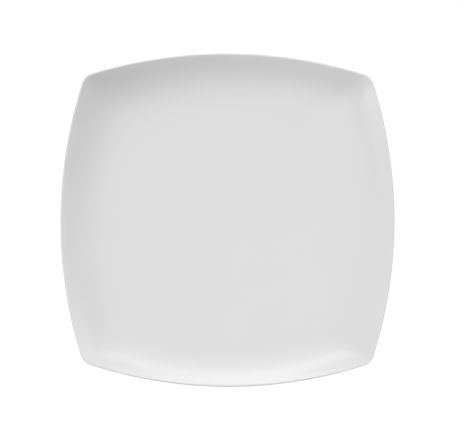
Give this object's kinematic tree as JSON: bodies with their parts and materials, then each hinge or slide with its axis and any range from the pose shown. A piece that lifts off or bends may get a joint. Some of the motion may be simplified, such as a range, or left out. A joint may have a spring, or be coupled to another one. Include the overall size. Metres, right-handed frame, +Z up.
{
  "type": "square dinner plate",
  "caption": "Square coupe dinner plate with bowed sides and small round corners that rise a little: a flat middle, from which the plate curves up to a plain lip, and a foot ring underneath.",
  "frame": {"origin": "middle of the plate, on the surface that its foot ring stands on", "axes": "+Z up, out of the well; +X and +Y towards the middles of two neighbouring sides"},
  "size_m": [0.26, 0.26, 0.0277],
  "materials": {
    "bare_porcelain": "matte",
    "white_glaze": "gloss"
  },
  "bodies": {
    "root": {"porcelain_body": "bare_porcelain", "glaze_coat": "white_glaze", "base_glaze": "white_glaze"}
  },
  "joints": []
}
